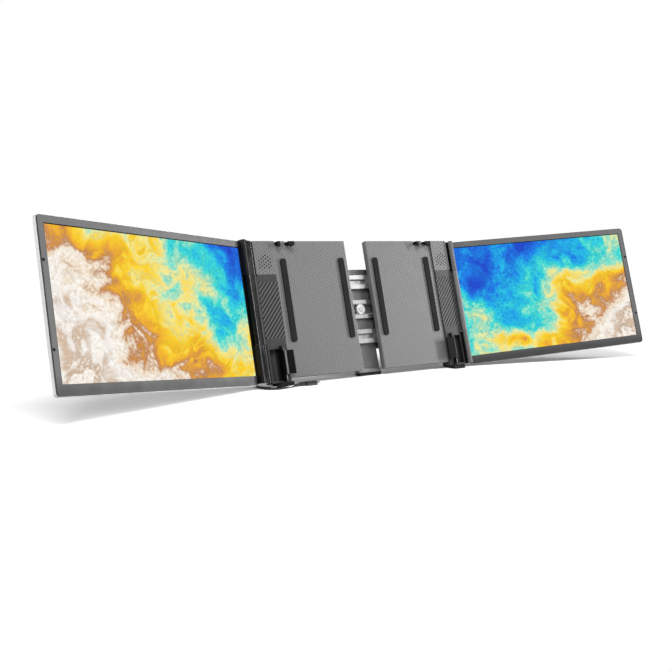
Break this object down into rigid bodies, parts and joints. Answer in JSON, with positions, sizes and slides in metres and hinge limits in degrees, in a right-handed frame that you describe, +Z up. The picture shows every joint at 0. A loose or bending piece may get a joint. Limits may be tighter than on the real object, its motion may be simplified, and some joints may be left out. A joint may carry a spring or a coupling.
{
  "type": "laptop screen extender",
  "caption": "Two hinged flat displays on a sliding bracket that grips a laptop lid, with columns, clamp flaps, top clips, a rear kickstand and a data cord.",
  "frame": {"origin": "centre of the flat underside of the centre foot, on the desk", "axes": "+X to the right across the displays, +Y to the rear, +Z up"},
  "size_m": [1.1113, 0.2512, 0.2472],
  "materials": {
    "housing_black": "satin, moulded in glass-filled plastic",
    "cover_grey": "fine matt texture",
    "grille_grey": "dimpled satin grey",
    "speaker_black": "matt",
    "insert_grey": "diagonal ribs",
    "rail_steel": "brushed",
    "soft_black": "matt",
    "clip_black": "soft satin",
    "flap_black": "satin",
    "board_green": "solder mask",
    "shell_silver": "blasted",
    "bezel_grey": "satin",
    "screen": "gloss, lit from behind",
    "light_white": "diffuse",
    "button_black": "satin",
    "link_black": "satin black anodised",
    "spine_alu": "anodised",
    "spine_dark": "satin black",
    "leg_alu": "satin",
    "cord_black": "glossy jacket",
    "plug_black": "moulded boot with a metal tip"
  },
  "bodies": {
    "spine": {"spine_frame": "spine_alu", "spine_cover": "spine_dark", "rail_channels": "rail_steel", "pinion_axle": "rail_steel", "centre_foot": "soft_black", "kickstand_pin": "rail_steel", "spine_screws": "rail_steel"},
    "pinion_gear": {"pinion": "rail_steel"},
    "kickstand": {"kickstand_leg": "leg_alu", "kickstand_foot": "soft_black"},
    "left_half": {"left_housing": "housing_black", "left_cover": "cover_grey", "left_grille": "grille_grey", "left_speaker": "speaker_black", "left_insert": "insert_grey", "left_rails": "rail_steel", "left_rack": "rail_steel", "left_lid_pads": "soft_black", "left_foot_pad": "soft_black", "left_board": "board_green", "left_screws": "rail_steel", "left_pins": "rail_steel", "cord": "cord_black", "cord_coil": "cord_black", "cord_plugs": "plug_black"},
    "right_half": {"right_housing": "housing_black", "right_cover": "cover_grey", "right_grille": "grille_grey", "right_speaker": "speaker_black", "right_insert": "insert_grey", "right_rails": "rail_steel", "right_rack": "rail_steel", "right_lid_pads": "soft_black", "right_foot_pad": "soft_black", "right_board": "board_green", "right_screws": "rail_steel", "right_pins": "rail_steel"},
    "left_flap_body": {"left_flap": "flap_black", "left_flap_pad": "soft_black"},
    "right_flap_body": {"right_flap": "flap_black", "right_flap_pad": "soft_black"},
    "left_clip_body": {"left_clip": "clip_black"},
    "right_clip_body": {"right_clip": "clip_black"},
    "left_link_body": {"left_link": "link_black", "left_link_pins": "rail_steel"},
    "left_display": {"left_shell": "shell_silver", "left_bezel": "bezel_grey", "left_glass": "screen", "left_backlight": "light_white", "left_display_board": "board_green", "left_bumpers": "soft_black"},
    "right_display": {"right_shell": "shell_silver", "right_bezel": "bezel_grey", "right_glass": "screen", "right_backlight": "light_white", "right_display_board": "board_green", "right_bumpers": "soft_black"},
    "left_button_body": {"left_button": "button_black"},
    "right_button_body": {"right_button": "button_black"}
  },
  "joints": [
    {"name": "left_slide", "type": "slide", "parent": "spine", "child": "left_half", "axis": [-1, 0, 0], "range_m": [-0.014, 0.022]},
    {"name": "right_slide", "type": "slide", "parent": "spine", "child": "right_half", "axis": [1, 0, 0], "range_m": [-0.014, 0.022]},
    {"name": "pinion_spin", "type": "hinge", "parent": "spine", "child": "pinion_gear", "pos_m": [0, 0.0227, 0.10499], "axis": [0, -0.9659, 0.2588], "range_deg": [-101, 158]},
    {"name": "left_link_hinge", "type": "hinge", "parent": "left_half", "child": "left_link_body", "pos_m": [-0.2024, 0.00434, 0.10991], "axis": [0, -0.2588, -0.9659], "range_deg": [-57, 33]},
    {"name": "left_display_hinge", "type": "hinge", "parent": "left_link_body", "child": "left_display", "pos_m": [-0.21689, -0.00475, 0.11234], "axis": [0, 0.2588, 0.9659], "range_deg": [-20.1, 159.9]},
    {"name": "right_display_hinge", "type": "hinge", "parent": "right_half", "child": "right_display", "pos_m": [0.2024, 0.00434, 0.10991], "axis": [0, -0.2588, -0.9659], "range_deg": [-16.3, 163.7]},
    {"name": "left_flap_hinge", "type": "hinge", "parent": "left_half", "child": "left_flap_body", "pos_m": [-0.1704, -0.01478, 0.03118], "axis": [0, -0.2588, -0.9659], "range_deg": [0, 180]},
    {"name": "right_flap_hinge", "type": "hinge", "parent": "right_half", "child": "right_flap_body", "pos_m": [0.1704, -0.01478, 0.03118], "axis": [0, 0.2588, 0.9659], "range_deg": [0, 180]},
    {"name": "left_clip_slide", "type": "slide", "parent": "left_half", "child": "left_clip_body", "axis": [0, 0.2588, 0.9659], "range_m": [0, 0.012], "stiffness_N_per_m": 300, "springref_m": -0.006},
    {"name": "right_clip_slide", "type": "slide", "parent": "right_half", "child": "right_clip_body", "axis": [0, 0.2588, 0.9659], "range_m": [0, 0.012], "stiffness_N_per_m": 300, "springref_m": -0.006},
    {"name": "kickstand_hinge", "type": "hinge", "parent": "spine", "child": "kickstand", "pos_m": [0, 0.0478, 0.12622], "axis": [1, 0, 0], "range_deg": [-35, 0]},
    {"name": "left_button_press", "type": "slide", "parent": "left_display", "child": "left_button_body", "axis": [0.3437, -0.9071, 0.2431], "range_m": [0, 0.0006], "stiffness_N_per_m": 600, "springref_m": -0.0008},
    {"name": "right_button_press", "type": "slide", "parent": "right_display", "child": "right_button_body", "axis": [-0.2807, -0.9271, 0.2484], "range_m": [0, 0.0006], "stiffness_N_per_m": 600, "springref_m": -0.0008}
  ],
  "couplings": [
    {"joint": "right_slide", "follows": "left_slide", "ratio": 1},
    {"joint": "pinion_spin", "follows": "left_slide", "rad_per_m": 125}
  ]
}
